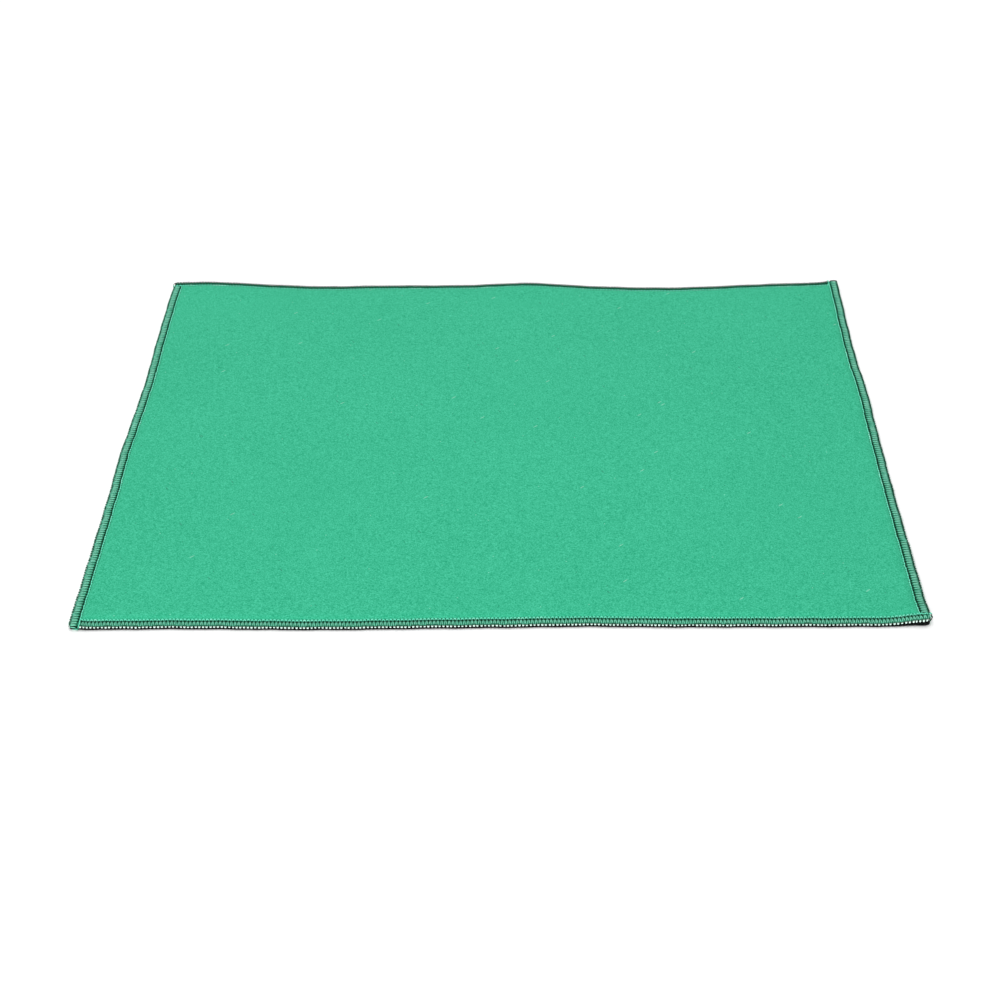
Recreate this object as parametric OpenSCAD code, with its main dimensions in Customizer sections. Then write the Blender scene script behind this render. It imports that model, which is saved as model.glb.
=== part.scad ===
// Flat one-piece table mat for dice and card play, in millimetres.
// Three bonded plies are squeezed thin along the rim, where four separate overlock runs,
// of three threads each, bind the raw edge.
// +X is the long side, -Y is the front edge, z = 0 is the table top, and the origin is
// under the middle of the mat.

/* [Mat] */
// Overall length along X, over the rim threads
mat_w = 420; // [300:1:600]
// Overall depth along Y, over the rim threads
mat_d = 320; // [220:1:450]

/* [Plies] */
// Thickness of the brushed playing cloth
cloth_t = 0.4; // [0.3:0.05:0.8]
// Thickness of the foam core in the open field
foam_t = 2.2; // [1.8:0.1:5]
// Thickness of the grippy rubber skin underneath
skin_t = 0.4; // [0.3:0.05:0.8]

/* [Stitched rim] */
// Distance from the outer edge in to the far side of the needle thread
stitch_w = 5.2; // [3:0.1:7]
// Thickness that the stitches squeeze the foam core to
rim_foam_t = 0.8; // [0.5:0.05:0.9]
// Width of the slope from the needle line up to the full thickness
slope_w = 3; // [2:0.5:8]

/* [Threads] */
// Thickness of the layer of looper threads on each face and round the edge
looper_t = 0.35; // [0.25:0.05:0.45]
// Width and height of the needle thread's line
needle_t = 0.5; // [0.3:0.05:0.6]
// Gap between the lower threads and the table top
table_gap = 0.05; // [0.02:0.01:0.1]

/* [Hidden] */
SIDES = ["front", "right", "back", "left"];

CLOTH_COLOR = "#44bd93";
FOAM_COLOR = "#2b2d2e";
SKIN_COLOR = "#1c1e1f";
LOOPER_COLOR = "#50a082";
NEEDLE_COLOR = "#2f7f63";

// Faces between the plies: height in the open field, and height under the stitches
skin_low = [0, looper_t + table_gap];
skin_high = skin_low + [skin_t, skin_t];
core_high = skin_high + [foam_t, rim_foam_t];
cloth_high = core_high + [cloth_t, cloth_t];

// The plies stop one layer of thread inside the overall outline
ply_w = mat_w - 2 * looper_t;
ply_d = mat_d - 2 * looper_t;
ledge_w = stitch_w - looper_t;
edge_mid_z = (skin_low[1] + cloth_high[1]) / 2;

// How far a cutting solid runs past what it cuts
spare = 1;

// Half of a ply face's profile, from the outer edge in: flat ledge, then slope
function half_profile(size, face, past) = [
    [size / 2 + past, face[1]],
    [size / 2 - ledge_w, face[1]],
    [size / 2 - ledge_w - slope_w, face[0]]
];

function mirrored(points) = [for (i = [len(points) - 1:-1:0]) [-points[i][0], points[i][1]]];

// Profile of all that is on one side of a ply face, closed off at height end_z
function profile(size, face, end_z, past) =
    let (half = half_profile(size, face, past))
    concat(half, mirrored(half), [[-size / 2 - past, end_z], [size / 2 + past, end_z]]);

// All that lies between a ply face and the level end_z, with its corners mitred
module one_side_of(face, end_z, past = 0) {
    intersection() {
        rotate([90, 0, 0])
            linear_extrude(height = ply_d + 2 * past, center = true)
                polygon(profile(ply_w, face, end_z, past));
        rotate([90, 0, 90])
            linear_extrude(height = ply_w + 2 * past, center = true)
                polygon(profile(ply_d, face, end_z, past));
    }
}

// Thin rubber skin that grips the table; its rim is lifted over the lower threads
module base_skin() {
    color(SKIN_COLOR)
    difference() {
        one_side_of(skin_low, skin_high[1] + spare);
        one_side_of(skin_high, skin_high[1] + 2 * spare, spare);
    }
}

// Foam sheet that gives the mat its bounce, squeezed along the rim
module foam_core() {
    color(FOAM_COLOR)
    intersection() {
        one_side_of(core_high, -spare);
        one_side_of(skin_high, core_high[0] + spare, spare);
    }
}

// Brushed cloth that the dice and cards land on, drawn down at the needle line
module playing_cloth() {
    color(CLOTH_COLOR)
    difference() {
        one_side_of(cloth_high, -spare);
        one_side_of(core_high, -2 * spare, spare);
    }
}

// One straight run along a side, drawn as a section in depth and height.
// Each run starts beside the needle line of the run before it and goes right out to the
// next corner, so the four runs chase each other round the mat.
module run_along(side, section) {
    along = side % 2 == 0 ? mat_w : mat_d;
    across = side % 2 == 0 ? mat_d : mat_w;
    rotate([0, 0, 90 * side])
        translate([stitch_w - along / 2, -across / 2, 0])
            rotate([90, 0, 90])
                linear_extrude(height = along - stitch_w)
                    polygon(section);
}

// Thread that holds the plies together, lying in the groove along the needle line
module needle_thread(side) {
    z = cloth_high[1];
    color(NEEDLE_COLOR)
    run_along(side, [
        [stitch_w - needle_t, z],
        [stitch_w, z],
        [stitch_w, z + needle_t],
        [stitch_w - needle_t, z + needle_t]
    ]);
}

// Thread that zigzags over the playing face, from the needle line to the edge
module upper_looper_thread(side) {
    z = cloth_high[1];
    color(LOOPER_COLOR)
    run_along(side, [
        [0, edge_mid_z],
        [looper_t, edge_mid_z],
        [looper_t, z],
        [stitch_w - needle_t, z],
        [stitch_w - needle_t, z + looper_t],
        [0, z + looper_t]
    ]);
}

// Thread that zigzags under the mat and locks with the upper one along the edge
module lower_looper_thread(side) {
    z = skin_low[1];
    color(LOOPER_COLOR)
    run_along(side, [
        [0, z - looper_t],
        [stitch_w, z - looper_t],
        [stitch_w, z],
        [looper_t, z],
        [looper_t, edge_mid_z],
        [0, edge_mid_z]
    ]);
}

base_skin();
foam_core();
playing_cloth();
for (side = [0:len(SIDES) - 1]) {
    needle_thread(side);
    upper_looper_thread(side);
    lower_looper_thread(side);
}
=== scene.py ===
# %% [markdown]
# # A padded table mat with an overlocked edge
#
# The object is one flat, soft sheet for dice and cards: green brushed cloth on a thin foam
# core, with a grippy rubber skin underneath. Its raw edge is bound by an overlock machine,
# which wraps three threads round the rim. The field is nearly plain, so the rim carries the
# looks: this lesson sews it stitch by stitch, out of real loops of thread.

# %% Load the frame
import math
import random

import bmesh
import bpy
import numpy as np
from mathutils import Matrix, Vector


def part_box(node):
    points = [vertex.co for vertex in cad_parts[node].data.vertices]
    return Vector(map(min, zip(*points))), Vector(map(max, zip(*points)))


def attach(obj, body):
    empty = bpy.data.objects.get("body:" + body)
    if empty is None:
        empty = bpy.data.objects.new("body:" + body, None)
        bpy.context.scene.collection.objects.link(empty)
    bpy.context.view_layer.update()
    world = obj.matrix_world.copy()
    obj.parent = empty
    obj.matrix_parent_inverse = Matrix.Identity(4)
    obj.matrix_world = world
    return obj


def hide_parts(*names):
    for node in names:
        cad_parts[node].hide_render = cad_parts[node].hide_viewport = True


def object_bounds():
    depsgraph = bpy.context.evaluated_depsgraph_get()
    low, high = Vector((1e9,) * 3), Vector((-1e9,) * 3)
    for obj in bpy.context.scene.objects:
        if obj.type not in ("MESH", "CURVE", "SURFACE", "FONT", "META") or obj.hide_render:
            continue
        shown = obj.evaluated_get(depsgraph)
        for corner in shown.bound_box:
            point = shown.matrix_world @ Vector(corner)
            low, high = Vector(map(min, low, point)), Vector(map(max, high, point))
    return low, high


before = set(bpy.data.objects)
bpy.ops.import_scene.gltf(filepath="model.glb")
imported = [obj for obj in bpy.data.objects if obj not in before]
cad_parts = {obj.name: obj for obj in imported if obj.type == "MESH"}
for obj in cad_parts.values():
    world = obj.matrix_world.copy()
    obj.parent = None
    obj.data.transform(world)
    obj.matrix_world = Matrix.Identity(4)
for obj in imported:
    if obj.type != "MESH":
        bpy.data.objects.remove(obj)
CAD_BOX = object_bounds()
SIDES = ["front", "right", "back", "left"]
MM = 0.001
print("CAD box in mm:", [[round(c / MM, 2) for c in corner] for corner in CAD_BOX])

# %% [markdown]
# ## Sizes
#
# Every size that the rim needs is already in the CAD pieces, so it is read from their boxes
# and not typed again. The bite is how far the stitches reach in from the edge, and the two rim
# heights are where the squeezed plies start and end under the threads. The groove, where the
# needle pierces the cloth, lies a little outside the thread that it leaves on top.

# %% Sizes from the CAD pieces
half_x = CAD_BOX[1][0]
half_y = CAD_BOX[1][1]
cloth_low, cloth_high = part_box("playing_cloth")
field_top = cloth_high[2]
lower_low, lower_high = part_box("front_lower_looper_thread")
needle_low, needle_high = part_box("front_needle_thread")
looper_layer = cloth_low[0] + half_x
BITE = lower_high[1] - lower_low[1]
NEEDLE_IN = BITE - (needle_high[1] - needle_low[1]) / 2
RIM_TOP = needle_low[2]
RIM_LOW = lower_low[2] + looper_layer
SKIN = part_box("base_skin")[1][2] - RIM_LOW
CLOTH = RIM_TOP - cloth_low[2]
NEEDLE_TO_GROOVE = 0.6
GROOVE_IN = NEEDLE_IN / MM - NEEDLE_TO_GROOVE
print(f"bite {BITE / MM:.2f}, needle line {NEEDLE_IN / MM:.2f} in from the edge")
print(f"rim from {RIM_LOW / MM:.2f} to {RIM_TOP / MM:.2f}, field up to {field_top / MM:.2f}")
print(f"skin {SKIN / MM:.2f}, cloth {CLOTH / MM:.2f}")

# %% [markdown]
# ## Camera
#
# The camera stands a little above knee height in front of a low table and looks down at
# about 38 degrees. A short telephoto lens keeps the far edge wide. The small roll and yaw
# are those of a hand-held shot.

# %% Camera
CAMERA_AT = (0.0137, -0.7669, 0.5560)
CAMERA_DOWN = math.radians(38.17)
CAMERA_YAW = math.radians(1.07)
CAMERA_ROLL = math.radians(-0.89)

camera_data = bpy.data.cameras.new("camera")
camera_data.lens = 60.75
camera_data.sensor_width = 36.0
camera_data.clip_start = 0.01
camera = bpy.data.objects.new("camera", camera_data)
camera.matrix_world = (
    Matrix.Translation(CAMERA_AT)
    @ Matrix.Rotation(CAMERA_YAW, 4, "Z")
    @ Matrix.Rotation(math.pi / 2 - CAMERA_DOWN, 4, "X")
    @ Matrix.Rotation(CAMERA_ROLL, 4, "Z")
)
bpy.context.scene.collection.objects.link(camera)
bpy.context.scene.camera = camera
print("camera", CAMERA_AT[2], "m up, looking down", round(math.degrees(CAMERA_DOWN)), "degrees")

# %% [markdown]
# ## Shader sums
#
# A material is a net of nodes, and most of them only add and multiply. The class below
# wraps one output socket, so `1 - mask` or `noise * 0.3` adds its Math node by itself, and
# `Shader.node` makes any other kind of node from its settings and its inputs. Colours are
# given as they should look on screen. The studio lights the mat more brightly than plain
# white would need, so `paint` divides them by that brightness.


# %% Shader helper
class Value:
    """One output socket of a material, which can be used in sums."""

    def __init__(self, shader, socket):
        self.shader = shader
        self.socket = socket

    def math(self, operation, *others):
        settings = {"operation": operation}
        return self.shader.node("ShaderNodeMath", settings, {i: v for i, v in enumerate(others)})

    def __add__(self, other):
        return self.math("ADD", self, other)

    def __radd__(self, other):
        return self.math("ADD", other, self)

    def __sub__(self, other):
        return self.math("SUBTRACT", self, other)

    def __rsub__(self, other):
        return self.math("SUBTRACT", other, self)

    def __mul__(self, other):
        return self.math("MULTIPLY", self, other)

    def __truediv__(self, other):
        return self.math("DIVIDE", self, other)

    def __abs__(self):
        return self.math("ABSOLUTE", self)

    def sin(self):
        return self.math("SINE", self)

    def step(self, start, end):
        """0 below start and 1 above end, or the other way round, with soft ends."""
        flip = start > end
        settings = {"interpolation_type": "SMOOTHSTEP"}
        sockets = {
            "Value": self,
            "From Min": min(start, end),
            "From Max": max(start, end),
            "To Min": 1.0 if flip else 0.0,
            "To Max": 0.0 if flip else 1.0,
        }
        return self.shader.node("ShaderNodeMapRange", settings, sockets)


class Shader:
    """A material whose surface is one Principled shader."""

    def __init__(self, name):
        self.material = bpy.data.materials.new(name)
        self.material.use_nodes = True
        self.tree = self.material.node_tree
        self.surface = self.tree.nodes["Principled BSDF"]

    def node(self, kind, settings=None, sockets=None, output=0):
        made = self.tree.nodes.new(kind)
        for key, value in (settings or {}).items():
            setattr(made, key, value)
        for key, value in (sockets or {}).items():
            self.set(made.inputs[key], value)
        return Value(self, made.outputs[output])

    def set(self, socket, value):
        if isinstance(value, Value):
            self.tree.links.new(value.socket, socket)
        else:
            socket.default_value = value

    def finish(self, **sockets):
        """Sets the Principled shader's sockets, with _ in place of a space."""
        for key, value in sockets.items():
            self.set(self.surface.inputs[key.replace("_", " ")], value)
        return self.material

    def place(self):
        return self.node("ShaderNodeTexCoord", output="Object")

    def noise(self, vector, scale, detail=2.0, rough=0.5):
        sockets = {"Vector": vector, "Scale": scale, "Detail": detail, "Roughness": rough}
        return self.node("ShaderNodeTexNoise", None, sockets)

    def stretch(self, vector, by):
        return self.node("ShaderNodeVectorMath", {"operation": "MULTIPLY"}, {0: vector, 1: by})

    def cells(self, vector, scale, output="Distance", flat=False):
        settings = {"voronoi_dimensions": "2D" if flat else "3D"}
        sockets = {"Vector": vector, "Scale": scale}
        return self.node("ShaderNodeTexVoronoi", settings, sockets, output)

    def flecks(self, vector, scale, turn, slim, share, size):
        """A mask of loose flecks: one in a share of the cells, each slim times as long as wide."""
        size_of_cell = (1 / scale, 1 / (scale * slim), 1)
        sockets = {"Vector": vector, "Rotation": (0, 0, turn), "Scale": size_of_cell}
        turned = self.node("ShaderNodeMapping", {"vector_type": "TEXTURE"}, sockets)
        number = self.cells(turned, 1.0, "Color", flat=True)
        kind = self.node("ShaderNodeSeparateColor", None, {0: number})
        spot = self.cells(turned, 1.0, flat=True).step(size, size * 0.55)
        return spot * kind.math("LESS_THAN", kind, share)

    def attribute(self, name):
        return self.node("ShaderNodeAttribute", {"attribute_name": name}, None, "Fac")

    def mask(self, first, second):
        """The stronger of two masks."""
        return first.math("MAXIMUM", first, second)

    def mix(self, factor, first, second):
        sockets = {0: factor, 6: first, 7: second}
        return self.node("ShaderNodeMix", {"data_type": "RGBA"}, sockets, 2)

    def bump(self, height, depth, strength, under=None):
        sockets = {"Height": height, "Distance": depth, "Strength": strength}
        if under is not None:
            sockets["Normal"] = under
        return self.node("ShaderNodeBump", None, sockets)


# How many times brighter than plain white the studio lights the mat.
STUDIO = 1.39


def paint(red, green, blue):
    """A shader colour that looks like these 0 to 255 screen values in the bright studio."""
    steps = [c / 255 for c in (red, green, blue)]
    linear = [c / 12.92 if c <= 0.04 else ((c + 0.055) / 1.055) ** 2.4 for c in steps]
    return tuple(c / STUDIO for c in linear) + (1.0,)


print("cloth green as a shader colour:", [round(c, 3) for c in paint(71, 193, 151)[:3]])

# %% [markdown]
# ## Floor and light
#
# The mat lies on a plain white sweep. One softbox hangs over it, a little in front of the
# middle. A low one in front, to the left, brightens the faces of the front and left edges
# and lets the cloth fall off gently to the back right. A third one washes the floor behind.
# The studio is lit well past white, which burns the floor out: only the thin dark line of
# contact shadow under the rim still shows.

# %% Floor and light
FLOOR_SIDE = 12.0
AMBIENT = 0.6
# Each softbox has its place, the point it faces, its side in metres and its power in watts.
SOFTBOXES = {
    "key softbox": ((0.0, -0.2, 1.0), (0.0, 0.0, 0.0), 0.5, 3.9),
    "front softbox": ((-0.5, -1.35, 0.35), (0.0, -0.1, 0.0), 0.6, 13.0),
    "floor wash": ((0.0, 1.15, 1.2), (0.0, 0.85, 0.0), 1.6, 11.0),
}

floor_mesh = bpy.data.meshes.new("floor")
floor_bm = bmesh.new()
bmesh.ops.create_grid(floor_bm, x_segments=1, y_segments=1, size=FLOOR_SIDE / 2)
floor_bm.to_mesh(floor_mesh)
floor_bm.free()
floor = bpy.data.objects.new("floor", floor_mesh)
bpy.context.scene.collection.objects.link(floor)
floor_paint = Shader("white sweep")
floor_mesh.materials.append(
    floor_paint.finish(Base_Color=(0.94, 0.94, 0.94, 1.0), Roughness=1.0, Specular_IOR_Level=0.0)
)

world = bpy.data.worlds.new("studio")
world.use_nodes = True
world.node_tree.nodes["Background"].inputs["Color"].default_value = (1, 1, 1, 1)
world.node_tree.nodes["Background"].inputs["Strength"].default_value = AMBIENT
bpy.context.scene.world = world

for name, (place, target, side, watts) in SOFTBOXES.items():
    lamp = bpy.data.lights.new(name, "AREA")
    lamp.size = side
    lamp.energy = watts
    softbox = bpy.data.objects.new(name, lamp)
    softbox.location = place
    softbox.rotation_euler = (Vector(place) - Vector(target)).to_track_quat("Z", "Y").to_euler()
    bpy.context.scene.collection.objects.link(softbox)
    print(name, watts, "W at", place)
bpy.context.scene.view_settings.view_transform = "Standard"

# %% [markdown]
# ## Playing cloth material
#
# The cloth is a brushed weave, so it is matte and its short fibres scatter light. Three
# sizes of noise make that: fibres under half a millimetre, small tufts, and slow patches
# where the nap lies another way. A few dark and pale specks and hairs of lint are caught in
# it. Shade is painted into the colour: the band under the threads is darker, and so are the
# crease, the needle holes and the cut edge.

# %% Playing cloth material
CLOTH_DEEP = paint(6, 164, 118)
CLOTH_PALE = paint(80, 217, 173)
CREASE_SHADE_GREEN = paint(0, 70, 42)
BAND_SHADE_GREEN = paint(24, 122, 88)
# Each noise has its scale per metre and how strongly it changes the tone.
FIBRE_NOISE = (1500, 2.5)
TUFT_NOISE = (420, 0.4)
PATCH_NOISE = (14, 0.12)
# Painted shade, in mm in from the edge: the band under the threads and the cut edge fade out
# between two distances, and the crease and the needle holes have a middle.
BAND_ENDS = (GROOVE_IN + 0.3, GROOVE_IN - 0.1)
CUT_EDGE_ENDS = (1.35, 0.95)
CREASE_IN = GROOVE_IN - 0.1
HOLES_IN = GROOVE_IN + 0.5
# Lint: cells per metre, turn, slimness, share of cells, size, strength and colour.
LINT = [
    (92, 0.3, 1.1, 0.16, 0.034, 0.8, paint(20, 104, 76)),
    (81, 1.1, 1.2, 0.12, 0.028, 0.7, paint(170, 245, 215)),
    (58, 0.7, 7.0, 0.014, 0.11, 0.6, paint(178, 240, 214)),
    (63, 2.2, 6.0, 0.010, 0.10, 0.7, paint(40, 112, 92)),
]


def cloth_material():
    """Brushed green cloth with fibres, tufts, slow patches, lint, and painted shade in the crease
    and along the rim.
    """
    s = Shader("brushed playing cloth")
    at = s.place()
    inward = s.attribute("inward_mm")
    fibres = s.noise(s.stretch(at, (1.0, 1.2, 1.0)), FIBRE_NOISE[0], 2.0, 0.6)
    tufts = s.noise(at, TUFT_NOISE[0], 2.0, 0.55)
    patches = s.noise(at, PATCH_NOISE[0], 2.0, 0.5)
    tone = (fibres - 0.5) * FIBRE_NOISE[1]
    tone = tone + (tufts - 0.5) * TUFT_NOISE[1]
    tone = tone + (patches - 0.5) * PATCH_NOISE[1]
    shade = s.mix(tone + 0.5, CLOTH_DEEP, CLOTH_PALE)
    for scale, turn, slim, share, size, strength, colour in LINT:
        shade = s.mix(s.flecks(at, scale, turn, slim, share, size) * strength, shade, colour)
    band_shade = inward.step(*BAND_ENDS)
    crease_shade = abs(inward - CREASE_IN).step(0.95, 0.5)
    hole_shade = abs(inward - HOLES_IN).step(0.85, 0.55) * s.attribute("hole").step(0.3, 0.75)
    edge_shade = inward.step(*CUT_EDGE_ENDS)
    # Painted shade: the band under the threads, the crease, the needle holes and the cut edge.
    shade = s.mix(band_shade * 0.9, shade, BAND_SHADE_GREEN)
    shade = s.mix(s.mask(s.mask(crease_shade, hole_shade), edge_shade), shade, CREASE_SHADE_GREEN)
    normal = s.bump(fibres, 0.00025, 0.5)
    normal = s.bump(tufts, 0.0003, 0.3, normal)
    return s.finish(
        Base_Color=shade,
        Roughness=(fibres - 0.5) * 0.2 + 0.9,
        Specular_IOR_Level=0.1,
        Sheen_Weight=0.05,
        Sheen_Roughness=0.6,
        Normal=normal,
    )


playing_green = cloth_material()
print(playing_green.name, "uses", len(playing_green.node_tree.nodes), "nodes")

# %% [markdown]
# ## Foam, rubber and thread materials
#
# The foam shows only as black between the threads, along the edge where its tiny cells are
# cut open. The rubber skin has a fine pebbled grip.


# %% Foam and rubber materials
def foam_material():
    """Black foam with its small cells cut open."""
    s = Shader("black foam")
    cells = s.cells(s.place(), 2400)
    shade = s.mix(cells.step(0.1, 0.5), paint(6, 8, 7), paint(20, 22, 21))
    normal = s.bump(cells, 0.0002, 0.8)
    return s.finish(Base_Color=shade, Roughness=0.95, Specular_IOR_Level=0.03, Normal=normal)


def rubber_material():
    """Black rubber pressed with a fine pebbled grip."""
    s = Shader("grip rubber")
    at = s.place()
    pebbles = s.cells(at, 620)
    patches = s.noise(at, 30, 3.0)
    dome = pebbles.step(0.62, 0.1)
    shade = s.mix(patches, paint(10, 11, 11), paint(22, 24, 24))
    shade = s.mix(dome * 0.5, shade, paint(34, 36, 36))
    return s.finish(
        Base_Color=shade,
        Roughness=0.85 - dome * 0.15,
        Specular_IOR_Level=0.08,
        Normal=s.bump(dome, 0.0003, 0.9),
    )


# %% [markdown]
# Thread is two plies twisted together, so the stripes of the twist run round it. The thread's
# own UV map has the distance along it in millimetres, and the stripes follow that. Two notes
# on the mesh say where it gets painted shade and where it gets a painted highlight.

# %% Thread material
TWIST_MM = 0.55
PLIES = 2
PAINTED_SHADE_GREEN = paint(0, 84, 54)
SHADE_BLACK = paint(0, 16, 9)


def thread_material(name, deep, middle, pale, painted_highlight):
    """Soft polyester thread with its twist, its fibres, its painted shade and its painted
    highlights.
    """
    s = Shader(name)
    at = s.place()
    uv = s.node("ShaderNodeUVMap")
    around, along = (s.node("ShaderNodeSeparateXYZ", None, {0: uv}, n) for n in (0, 1))
    turns = along / TWIST_MM + around * PLIES
    twist = (turns * (2 * math.pi)).sin() * 0.5 + 0.5
    fibres = s.noise(at, 5200, 2.0, 0.6)
    dye = s.noise(at, 160, 2.0)
    shade = s.mix(twist.step(0.0, 0.6), deep, middle)
    shade = s.mix((dye * 0.6 + fibres * 0.4).step(0.5, 0.75), shade, pale)
    # Painted highlight on the loops and the legs.
    shade = s.mix(s.attribute("painted_highlight"), shade, painted_highlight)
    # Painted shade: green shade at 1, black at 2.
    shade = s.mix(s.attribute("painted_shade"), shade, PAINTED_SHADE_GREEN)
    shade = s.mix(s.attribute("painted_shade") - 1, shade, SHADE_BLACK)
    normal = s.bump(twist, 0.00012, 0.8)
    normal = s.bump(fibres, 0.00008, 0.6, normal)
    return s.finish(
        Base_Color=shade,
        Roughness=0.72 + fibres * 0.2,
        Specular_IOR_Level=0.06,
        Sheen_Weight=0.03,
        Sheen_Roughness=0.5,
        Normal=normal,
    )


foam_black = foam_material()
rubber_black = rubber_material()
# The last colour given to each thread is its painted highlight.
looper_green = thread_material(
    "looper thread",
    paint(68, 206, 162),
    paint(100, 241, 198),
    paint(128, 255, 222),
    (0.74, 0.97, 0.88, 1.0),
)
needle_green = thread_material(
    "needle thread",
    paint(96, 246, 194),
    paint(130, 255, 222),
    (0.42, 0.94, 0.76, 1.0),
    (0.42, 0.94, 0.76, 1.0),
)
print("materials:", [m.name for m in (foam_black, rubber_black, looper_green, needle_green)])

# %% [markdown]
# ## How the soft mat lies
#
# The CAD mat is dead flat and square. The real one is soft: the tight stitches make each
# side wander by a millimetre or two, and they lift the rim and some corners off the table.
# One function holds all of that. Every piece, cloth or thread, is built flat and then sent
# through it, so the pieces always fit each other.

# %% Waves along the sides
# Each wave has its middle and its width along the side, how far it bows out, and its lift, in mm.
WAVES = {
    "front": [
        (0, 400, 0.3, 0.0),
        (-195, 25, 0.6, 0.0),
        (-85, 50, 1.1, 0.0),
        (42, 28, -0.7, 0.0),
        (207, 15, -0.7, 0.0),
    ],
    "right": [
        (0, 170, 0.15, 0.0),
        (145, 24, 0.9, 0.0),
        (77, 24, -0.4, 0.0),
        (36, 20, 0.6, 0.0),
        (-60, 45, -0.5, 0.0),
    ],
    "back": [
        (-190, 38, 2.7, 1.5),
        (-110, 22, -1.0, 0.0),
        (-20, 110, -0.9, 0.0),
        (15, 26, 1.3, 1.0),
        (105, 58, -4.9, 0.0),
        (206, 22, 0.2, 0.0),
    ],
    "left": [
        (0, 400, -0.25, 0.0),
        (156, 14, -0.7, 0.0),
        (52, 32, -0.9, 0.0),
        (-22, 20, 0.8, 0.0),
    ],
}
# Each corner, by its signs in x and y, has its rounding, its lift and the lift's reach, in mm.
CORNERS = {
    (-1, -1): (3.0, 0.4, 12.0),
    (1, -1): (4.0, 2.2, 13.0),
    (1, 1): (1.2, 1.3, 8.0),
    (-1, 1): (2.8, 0.4, 12.0),
}
# How far the needle line strays inwards from its place on each side, in mm.
STRAY = {"front": -0.1, "right": 0.8, "back": 0.0, "left": 0.65}
STRAY_REACH = 3.2 * MM
# How far in from the edge the bows, the lifts and the ripple die out.
BOW_REACH = 45 * MM
LIFT_REACH = 26 * MM
RIPPLE_REACH = 9 * MM
# The two waves of the ripple, by length and height, and the gentle swell of the open field.
RIPPLE_SLOW = (4.1 * MM, 0.11 * MM)
RIPPLE_QUICK = (1.9 * MM, 0.05 * MM)
SWELL_X = 43 * MM
SWELL_Y = 37 * MM
SWELL_HEIGHT = 0.09 * MM


def wave_sum(side, along):
    """How far the side bows out and lifts at each place along it, in metres."""
    bow = np.zeros_like(along)
    lift = np.zeros_like(along)
    for middle, width, out, up in WAVES[side]:
        bump = np.exp(-(((along / MM - middle) / width) ** 2))
        bow += bump * out * MM
        lift += bump * up * MM
    return bow, lift


def ripple(side, along):
    """The small unevenness that the pull of the threads leaves along a side, in metres."""
    turn = 1.7 * SIDES.index(side)
    slow = np.sin(along / RIPPLE_SLOW[0] + turn) * RIPPLE_SLOW[1]
    quick = np.sin(along / RIPPLE_QUICK[0] + 2.3 * turn) * RIPPLE_QUICK[1]
    return slow + quick


def round_corners(points):
    """Draws each corner in to its own small radius."""
    for signs, (radius, _, _) in CORNERS.items():
        radius = radius * MM
        middle = np.array([half_x, half_y]) - radius
        from_middle = (points[:, :2] * signs - middle) / radius
        near = (from_middle > 0).all(axis=1)
        square = np.clip(from_middle[near], 0, 1)
        past = from_middle[near] - square
        circle = square * np.sqrt(1 - square[:, ::-1] ** 2 / 2)
        points[near, :2] = (middle + (circle + past) * radius) * signs


def lay_down(points):
    """Moves points of the flat mat to where the soft mat has them."""
    round_corners(points)
    flat = points.copy()
    for number, side in enumerate(SIDES):
        across = 1 - number % 2
        sign = 1 if side in ("right", "back") else -1
        half = (half_x, half_y)[across]
        along = flat[:, 1 - across]
        inward = np.maximum(half - sign * flat[:, across], 0)
        bow, lift = wave_sum(side, along)
        points[:, across] += sign * bow * np.exp(-((inward / BOW_REACH) ** 2))
        points[:, across] += sign * ripple(side, along) * np.exp(-((inward / RIPPLE_REACH) ** 2))
        near_needle = np.exp(-(((inward - NEEDLE_IN) / STRAY_REACH) ** 2))
        points[:, across] -= sign * STRAY[side] * MM * near_needle
        points[:, 2] += lift * np.exp(-((inward / LIFT_REACH) ** 2))
    # At a corner the foam swells: the top lifts and the underside stays on the table.
    swelling = np.clip(flat[:, 2] / RIM_TOP, 0, 1)
    for signs, (_, lift, reach) in CORNERS.items():
        from_corner = flat[:, :2] - np.array(signs) * (half_x, half_y)
        distance = np.linalg.norm(from_corner, axis=1) / (reach * MM)
        points[:, 2] += lift * MM * np.exp(-(distance**2)) * swelling
    swell = np.sin(flat[:, 0] / SWELL_X + 1.0) * np.sin(flat[:, 1] / SWELL_Y + 0.4)
    points[:, 2] += SWELL_HEIGHT * (1 + swell)
    return points


def reshape(mesh, change):
    """Runs a function over all of a mesh's points at once."""
    points = np.empty(len(mesh.vertices) * 3)
    mesh.vertices.foreach_get("co", points)
    mesh.vertices.foreach_set("co", change(points.reshape(-1, 3)).ravel())
    mesh.update()


corner = lay_down(np.array([[half_x, half_y, RIM_TOP]]))
print("the back right corner moves to", np.round(corner / MM, 2), "mm")

# %% [markdown]
# ## Plies
#
# Each ply starts as a coarse grid for the open field. Its outer edges are extruded outwards
# ring by ring, and after the first ring they are cut fine, four columns to a stitch, so that
# the cloth can dip at every needle hole without a heavy mesh in the middle. The sheet is
# then extruded into a closed shell whose two faces get their own heights.

# %% Grid and stitch counts
CELLS_X = 56
CELLS_Y = 42
STITCHES_PER_CELL = 4
COLUMNS_PER_STITCH = 4
STITCHES_X = CELLS_X * STITCHES_PER_CELL
STITCHES_Y = CELLS_Y * STITCHES_PER_CELL
PITCH_X = 2 * (half_x - NEEDLE_IN) / STITCHES_X
PITCH_Y = 2 * (half_y - NEEDLE_IN) / STITCHES_Y
print(f"stitch pitch {PITCH_X / MM:.3f} mm on the long sides, {PITCH_Y / MM:.3f} on the short")

# %% Ply builder
FIELD_RING = 13.0
FIRST_RING = 9.5


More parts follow.
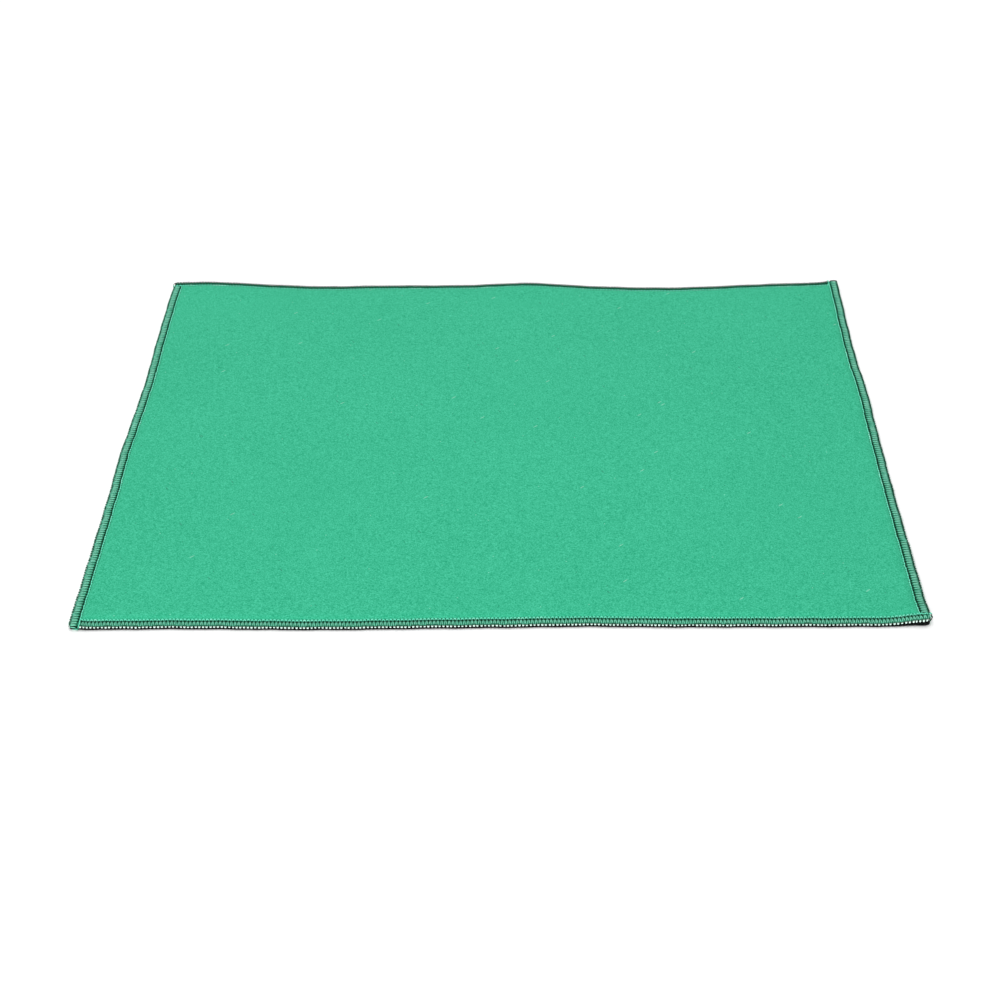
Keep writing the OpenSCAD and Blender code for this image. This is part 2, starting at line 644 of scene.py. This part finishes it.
def ply(name, rings_mm, fine, top, under, material):
    """A closed sheet. top and under give the height at each distance in from the edge."""
    bm = bmesh.new()
    bmesh.ops.create_grid(bm, x_segments=CELLS_X, y_segments=CELLS_Y, size=1)
    start = FIELD_RING * MM
    bmesh.ops.scale(bm, vec=(half_x - start, half_y - start, 1), verts=bm.verts)
    for number, ring in enumerate([FIRST_RING] + rings_mm):
        rim = [e for e in bm.edges if e.is_boundary]
        # Outside the first ring the columns are as fine as the stitches need.
        if number == 1:
            bmesh.ops.subdivide_edges(bm, edges=rim, cuts=fine * STITCHES_PER_CELL - 1)
            rim = [e for e in bm.edges if e.is_boundary]
        made = bmesh.ops.extrude_edge_only(bm, edges=rim)["geom"]
        outer = [v for v in made if isinstance(v, bmesh.types.BMVert)]
        end = ring * MM
        grow = ((half_x - end) / (half_x - start), (half_y - end) / (half_y - start), 1)
        bmesh.ops.scale(bm, vec=grow, verts=outer)
        start = end
    raised = bmesh.ops.extrude_face_region(bm, geom=bm.faces[:])["geom"]
    raised = [v for v in raised if isinstance(v, bmesh.types.BMVert)]
    bmesh.ops.translate(bm, vec=(0, 0, 1), verts=raised)
    bmesh.ops.recalc_face_normals(bm, faces=bm.faces)
    mesh = bpy.data.meshes.new(name)
    bm.to_mesh(mesh)
    bm.free()
    reshape(mesh, lambda points: shape_ply(mesh, points, top, under))
    mesh.shade_smooth()
    mesh.set_sharp_from_angle(angle=math.radians(50))
    mesh.materials.append(material)
    piece = bpy.data.objects.new(name, mesh)
    bpy.context.scene.collection.objects.link(piece)
    print(name, "has", len(mesh.polygons), "faces")
    return piece


def shape_ply(mesh, points, top, under):
    """Gives a ply's faces their heights, and notes the distance from the edge and the holes."""
    from_sides = np.array([half_x, half_y]) - np.abs(points[:, :2])
    inward = from_sides.min(axis=1)
    along_x = from_sides[:, 1] < from_sides[:, 0]
    along = np.where(along_x, points[:, 0], points[:, 1])
    u = along / (np.where(along_x, half_x, half_y) - inward)
    stitches = np.where(along_x, STITCHES_X, STITCHES_Y)
    hole = 0.5 + 0.5 * np.cos(math.pi * (u + 1) * stitches)
    is_top = points[:, 2] > 0.5
    points[:, 2] = np.where(is_top, top(inward / MM, hole), under(inward / MM, hole)) * MM
    for note, values in (("inward_mm", inward / MM), ("hole", hole)):
        mesh.attributes.new(note, "FLOAT", "POINT").data.foreach_set("value", values)
    return lay_down(points)


# %% [markdown]
# The height of a face is a smooth curve of the distance in from the edge, in millimetres: a
# flat ledge under the threads, a rounded climb from the groove, and the open field. In the
# groove it also dips round every hole, and just inside it the cloth puffs up between the
# holes. The cut edge droops on top and bulges underneath.


# %% Heights of the ply faces
def ease(value, start, end):
    """0 to 1 between start and end, with soft ends."""
    t = np.clip((value - start) / (end - start), 0, 1)
    return t * t * (3 - 2 * t)


SHOULDER_IN = GROOVE_IN + 0.2
CLIMB_END = GROOVE_IN + 4.6
CLIMB_CURVE = 0.85
GROOVE_WIDTH = 0.5
# Depth of the groove all along, and the extra depth at a hole, on the top and underneath.
TOP_DIPS = (0.36, 0.16)
UNDER_DIPS = (0.03, 0.10)
PUFF_IN = GROOVE_IN + 1.2
PUFF_WIDTH = 0.5
PUFF_HEIGHT = 0.1
EDGE_DROOP = 0.15
EDGE_BULGE = 0.2
GLUE_GAP = 0.02


def climb(inward, rim, field):
    """From the rim's height up to the field's, steep at first and then gentle."""
    share = np.clip((inward - SHOULDER_IN) / (CLIMB_END - SHOULDER_IN), 0, 1)
    rounded = np.sin(share * math.pi / 2) ** CLIMB_CURVE
    return rim + (field - rim) * rounded


def hill(inward, middle, width):
    """1 at the middle, falling to 0 over about twice the width on both sides."""
    return np.exp(-(((inward - middle) / width) ** 2))


def dip(inward, hole, dips):
    all_along, at_hole = dips
    return hill(inward, GROOVE_IN, GROOVE_WIDTH) * (all_along + at_hole * hole)


def cloth_top(inward, hole):
    puff = hill(inward, PUFF_IN, PUFF_WIDTH) * (1 - hole) * PUFF_HEIGHT
    droop = EDGE_DROOP * ease(inward, 1.6, 0.9)
    level = climb(inward, RIM_TOP / MM, field_top / MM)
    return level - dip(inward, hole, TOP_DIPS) + puff - droop


def cloth_under(inward, hole):
    return cloth_top(inward, hole) - CLOTH / MM


def skin_low(inward, hole):
    bulge = EDGE_BULGE * ease(inward, 1.9, 0.8)
    return climb(inward, RIM_LOW / MM, 0.0) + dip(inward, hole, UNDER_DIPS) - bulge


def skin_high(inward, hole):
    return skin_low(inward, hole) + SKIN / MM


def foam_high(inward, hole):
    return cloth_under(inward, hole) - GLUE_GAP


def foam_low(inward, hole):
    return skin_high(inward, hole) + GLUE_GAP


for mm in (0.5, 4.0, 6.0, 12.0):
    print(f"{mm} mm in: cloth at {cloth_top(mm, 0.0):.2f}, skin at {skin_low(mm, 0.0):.2f} mm")

# %% [markdown]
# The cut edges of the plies aren't quite flush. The cloth draws back a little where the
# threads pull it, so the black foam shows in the gaps between the loops.

# %% Build the three plies
CLOTH_RINGS = [GROOVE_IN + step for step in (4.0, 2.8, 1.9, 1.2, 0.8, 0.4, 0.0, -0.4, -0.8)]
CLOTH_RINGS += [2.3, 1.4, 0.95]
FOAM_RINGS = [7.2, 5.6, GROOVE_IN, 2.0, 0.9, 0.6]
SKIN_RINGS = [7.2, 5.6, GROOVE_IN + 0.4, GROOVE_IN, GROOVE_IN - 0.5, 2.0, 0.5]

cloth = ply("cloth_sheet", CLOTH_RINGS, COLUMNS_PER_STITCH, cloth_top, cloth_under, playing_green)
foam = ply("foam_sheet", FOAM_RINGS, 1, foam_high, foam_low, foam_black)
skin = ply("rubber_sheet", SKIN_RINGS, COLUMNS_PER_STITCH, skin_high, skin_low, rubber_black)

# %% [markdown]
# ## Overlock threads
#
# Three threads make the seam. The needle thread lies along the inner side and dives through
# the plies at every hole. The upper looper runs from one hole out to the edge, hangs over it
# in a small loop and comes back to the next hole. The lower looper does the same from
# underneath, and its loops stand up between the upper ones. Each thread is drawn as one long
# curve through the points of a stitch, repeated along the side with small seeded slips, and
# its round bevel becomes the tube. The alternative, an Array modifier on one stitch, can't
# slip or lean from stitch to stitch.

# %% One stitch of each thread
# Each point has its share of the stitch, its distance in from the edge and its height, in mm.
top_mm = RIM_TOP / MM
low_mm = RIM_LOW / MM
in_mm = NEEDLE_IN / MM
NEEDLE_STITCH = [
    (0.02, in_mm - 0.30, low_mm + 0.8),
    (0.12, in_mm - 0.20, top_mm - 0.26),
    (0.26, in_mm + 0.06, top_mm + 0.42),
    (0.50, in_mm + 0.18, top_mm + 0.66),
    (0.74, in_mm + 0.06, top_mm + 0.42),
    (0.88, in_mm - 0.20, top_mm - 0.26),
    (0.98, in_mm - 0.30, low_mm + 0.4),
    (0.99, in_mm - 0.40, low_mm - 0.05),
    (1.01, in_mm - 0.40, low_mm - 0.05),
]
UPPER_STITCH = [
    (0.00, in_mm - 0.35, top_mm - 0.16),
    (0.08, in_mm - 0.90, top_mm - 0.08),
    (0.15, in_mm - 1.50, top_mm + 0.26),
    (0.25, 1.80, top_mm + 0.30),
    (0.32, 0.90, top_mm + 0.16),
    (0.36, 0.48, top_mm + 0.02),
    (0.41, 0.26, top_mm - 0.14),
    (0.54, 0.20, top_mm - 0.24),
    (0.67, 0.26, top_mm - 0.14),
    (0.72, 0.48, top_mm + 0.02),
    (0.76, 0.90, top_mm + 0.16),
    (0.82, 1.80, top_mm + 0.30),
    (0.88, in_mm - 1.50, top_mm + 0.26),
    (0.94, in_mm - 0.90, top_mm - 0.08),
]
LOWER_STITCH = [
    (0.50, in_mm - 0.30, low_mm - 0.10),
    (0.60, in_mm - 1.4, low_mm - 0.16),
    (0.71, 1.9, low_mm - 0.16),
    (0.79, 1.0, low_mm - 0.05),
    (0.88, 0.50, low_mm + 0.25),
    (0.95, 0.26, top_mm - 1.00),
    (1.02, 0.22, top_mm - 0.74),
    (1.09, 0.26, top_mm - 1.00),
    (1.15, 0.50, low_mm + 0.25),
    (1.22, 1.0, low_mm - 0.05),
    (1.29, 1.9, low_mm - 0.16),
    (1.40, in_mm - 1.4, low_mm - 0.16),
]
# Each thread has its stitch, its radius in mm and its material.
THREADS = {
    "needle": (NEEDLE_STITCH, 0.32, needle_green),
    "upper_looper": (UPPER_STITCH, 0.21, looper_green),
    "lower_looper": (LOWER_STITCH, 0.17, looper_green),
}
print({name: len(stitch) for name, (stitch, _, _) in THREADS.items()}, "points per stitch")

# %% [markdown]
# A run starts beside the needle line of the run before it and goes right out to the next
# corner, where its last stitches wrap down over the edge. The hands that guide the mat are
# never steady, so each stitch slips a little and the lean of the legs swings slowly along the
# side. Thread that isn't pulled tight is plumper, so it thickens in the loops.

# %% The path of a run
# Seeded slip of a stitch in mm, and of its thickness as a share.
SLIP = 0.035
THICK_SLIP = 0.05
# Lean of the legs in stitches: always, and swinging along the side.
LEAN = 0.08
LEAN_SWING = 0.10
LEAN_STITCHES = 17
# The thread grows by this share where it is this near the edge, in mm.
LOOP_GROWTH = 0.75
LOOP_ZONE = 0.3
# The wrap at the end of a run starts this far before the edge and has this radius, in mm.
WRAP_START = 0.5
WRAP_RADIUS = 0.8


def run_path(kind, side):
    """Points and thickness factors of one thread along one side, in the side's own frame."""
    stitch = THREADS[kind][0]
    number = SIDES.index(side)
    pick = random.Random(f"{kind} {side}")
    pitch = (PITCH_X, PITCH_Y)[number % 2] / MM
    length = 2 * (half_x, half_y)[number % 2] / MM
    points = []
    thick = []
    for count in range(math.ceil((length - in_mm) / pitch) + 1):
        slips = [pick.gauss(0, SLIP) for _ in range(3)]
        lean = LEAN_SWING * math.sin(count / LEAN_STITCHES + number) + LEAN
        for share, inward, height in stitch:
            outward = 1 - inward / in_mm
            along = in_mm + (count + share + slips[0] * outward + lean * outward) * pitch
            points.append((along, inward + slips[1] * 2.0, height + slips[2]))
            thick.append(1 + LOOP_GROWTH * (inward < LOOP_ZONE) + pick.gauss(0, THICK_SLIP))
    points = np.array(points)
    above = points[:, 2] > (top_mm + low_mm) / 2
    past = np.maximum(points[:, 0] - (length - WRAP_START), 0)
    angle = past / WRAP_RADIUS
    kept = np.maximum.accumulate(np.where(above, angle, past * 2 / WRAP_START)) < math.pi / 2
    wrapped = above & (past > 0)
    points[:, 0] -= np.where(wrapped, past - WRAP_RADIUS * np.sin(angle), 0)
    points[:, 2] -= np.where(wrapped, WRAP_RADIUS * (1 - np.cos(angle)), 0)
    return points[kept] * MM, np.array(thick)[kept]


def to_side(points, side):
    """Turns points given as along, inward and height into the mat's frame."""
    number = SIDES.index(side)
    along, inward, height = points.T
    x = along - (half_x, half_y)[number % 2]
    y = inward - (half_y, half_x)[number % 2]
    turn = number * math.pi / 2
    c = round(math.cos(turn))
    s = round(math.sin(turn))
    return np.column_stack([c * x - s * y, s * x + c * y, height])


# %% [markdown]
# ## Painted shade and highlight on the threads
#
# A seam this small is read by its light and dark rows, and these are painted into the
# threads' colour. The outward loops get a painted highlight, and the legs a fainter one.
# Right behind the loops is a dark gap of painted shade, the legs' inner ends get painted
# shade where they sink into the crease beside the needle line, and all that is low on the
# edge is painted in shade. Along the back edge the whole band is painted dark. Each point of
# a thread notes how much painted shade it gets, where 1 is green shade and 2 is black, and
# how much painted highlight. Separate materials for the rows would leave hard borders.

# %% Where the threads get painted shade and highlight
# On each side: where the dark gap starts and ends, in mm in from the edge, and how dark it is.
SHADED = {
    "front": (0.3, 1.0, 1.6),
    "right": (0.25, 1.15, 1.2),
    "back": (-0.3, 3.9, 1.6),
    "left": (0.2, 1.05, 1.2),
}
# How far back from the end of each run its last stitches are shaded, in mm.
END_SHADE = {"front": 0.5, "right": 1.7, "back": 1.1, "left": -1.0}
END_DARKNESS = 1.4
BLACK = 2.0
# Heights between which painted black shade fades out and the painted highlight fades in, in mm.
BLACK_FADE = (1.42, 1.32)
LOOP_FADE = (1.30, 1.45)
# How wide the painted crease shade is on the threads, and where the legs get a painted highlight,
# in mm.
CREASE_WIDTH = 0.65
LEG_END_IN = GROOVE_IN - 1.1
LEG_END_WIDTH = 0.3
LEG_BEND_IN = 1.6
LEG_BEND_WIDTH = 0.5
LEG_HIGHLIGHT = 0.25


def edge_places(points, side):
    """How far each point is in from its side's edge, and short of the run's end, in mm."""
    across = 1 - SIDES.index(side) % 2
    sign = 1 if side in ("right", "back") else -1
    onward = 1 if side in ("front", "right") else -1
    inward = (half_x, half_y)[across] / MM - sign * points[:, across]
    left_over = (half_y, half_x)[across] / MM - onward * points[:, 1 - across]
    return inward, left_over


def note_painted_light(mesh, kind, side):
    """Notes where a thread gets painted shade and where its loops and legs get a painted
    highlight.
    """
    points = np.empty(len(mesh.vertices) * 3)
    mesh.vertices.foreach_get("co", points)
    points = points.reshape(-1, 3) / MM
    height = points[:, 2]
    inward, left_over = edge_places(points, side)
    gap_from, gap_to, gap_darkness = SHADED[side]
    on_top = ease(height, top_mm - 0.8, top_mm - 0.5)
    # Painted shade in the crease, in the gap behind the loops, low on the edge and at the run's
    # end.
    crease_shade = np.exp(-(((inward - CREASE_IN) / CREASE_WIDTH) ** 4)) * on_top
    gap = ease(inward, gap_to, gap_to - 0.3) * ease(inward, gap_from, gap_from + 0.25)
    gap = gap * ease(height, top_mm - 0.25, top_mm - 0.05) * gap_darkness
    below = ease(height, *BLACK_FADE) * ease(inward, 1.6, 1.1) * BLACK
    end = END_SHADE[side]
    run_end = ease(left_over, end, end - 0.4) * END_DARKNESS
    painted_shade = np.maximum.reduce([crease_shade, gap, below, run_end])
    # The lower looper is painted black in shade near the edge.
    if kind == "lower_looper":
        painted_shade = ease(inward, 1.8, 1.2) * BLACK
    # The needle thread is painted in shade below its top.
    if kind == "needle":
        painted_shade = ease(height, top_mm + 0.35, top_mm + 0.1)
    # Painted highlight on the loops, and a fainter one on the legs' bends and inner ends.
    loops = ease(inward, 0.6, 0.45) * ease(height, *LOOP_FADE)
    leg_ends = hill(inward, LEG_END_IN, LEG_END_WIDTH)
    leg_bends = hill(inward, LEG_BEND_IN, LEG_BEND_WIDTH)
    painted_highlight = np.maximum(loops, np.maximum(leg_ends, leg_bends) * on_top * LEG_HIGHLIGHT)
    for name, values in (("painted_shade", painted_shade), ("painted_highlight", painted_highlight)):
        mesh.attributes.new(name, "FLOAT", "POINT").data.foreach_set("value", values)


print("crease_shade", round(CREASE_IN, 2), "mm in, loops above", LOOP_FADE[1], "mm")

# %% [markdown]
# ## From path to tube
#
# A curve with a bevel gives a tube and a UV map, but its caps are loose and its points can't
# be bent as one. So the curve is turned into a mesh, its caps are welded on, and its UV map
# is scaled to millimetres of thread before the mesh is laid down with the rest of the mat.


# %% Thread builder
def scale_uv(mesh, long_mm):
    """Stretches the UV map so that its second number is millimetres along the thread."""
    layer = mesh.uv_layers[0]
    places = np.empty(len(layer.uv) * 2)
    layer.uv.foreach_get("vector", places)
    places = places.reshape(-1, 2)[:, ::-1] * (1.0, long_mm)
    layer.uv.foreach_set("vector", places.ravel())


def thread(kind, side):
    """One thread of one side, as a closed tube that replaces its CAD strip."""
    _, radius, material = THREADS[kind]
    local, thick = run_path(kind, side)
    points = to_side(local, side)
    curve = bpy.data.curves.new("thread path", "CURVE")
    curve.dimensions = "3D"
    curve.bevel_depth = radius * MM
    curve.bevel_resolution = 1
    curve.use_fill_caps = True
    spline = curve.splines.new("POLY")
    spline.points.add(len(points) - 1)
    spline.points.foreach_set("co", np.column_stack([points, np.ones(len(points))]).ravel())
    spline.points.foreach_set("radius", thick)
    holder = bpy.data.objects.new("thread path", curve)
    mesh = bpy.data.meshes.new_from_object(holder)
    bpy.data.objects.remove(holder)
    bpy.data.curves.remove(curve)
    bm = bmesh.new()
    bm.from_mesh(mesh)
    bmesh.ops.remove_doubles(bm, verts=bm.verts, dist=1e-7)
    bm.to_mesh(mesh)
    bm.free()
    name = f"{side}_{kind}"
    mesh.name = name
    long_mm = float(np.linalg.norm(np.diff(points, axis=0), axis=1).sum()) / MM
    scale_uv(mesh, long_mm)
    note_painted_light(mesh, kind, side)
    reshape(mesh, lay_down)
    mesh.shade_smooth()
    mesh.materials.clear()
    mesh.materials.append(material)
    piece = bpy.data.objects.new(name, mesh)
    bpy.context.scene.collection.objects.link(piece)
    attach(piece, "root")
    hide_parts(f"{side}_{kind}_thread")
    "needle_thread" if kind == "needle" else "looper_thread"
    print(f"{name}: {long_mm / 1000:.2f} m of thread, {len(mesh.polygons)} faces")
    return piece


threads = [thread(kind, side) for kind in THREADS for side in SIDES]

# %% [markdown]
# ## Hand over to the frame
#
# Every piece rides on the mat's one body and takes the place of its CAD solid.

ROLES = [
    (cloth, "playing_cloth", "playing_cloth"),
    (foam, "foam_core", "foam_rubber"),
    (skin, "base_skin", "grip_rubber"),
]
for piece, node, slot in ROLES:
    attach(piece, "root")
    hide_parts(node)
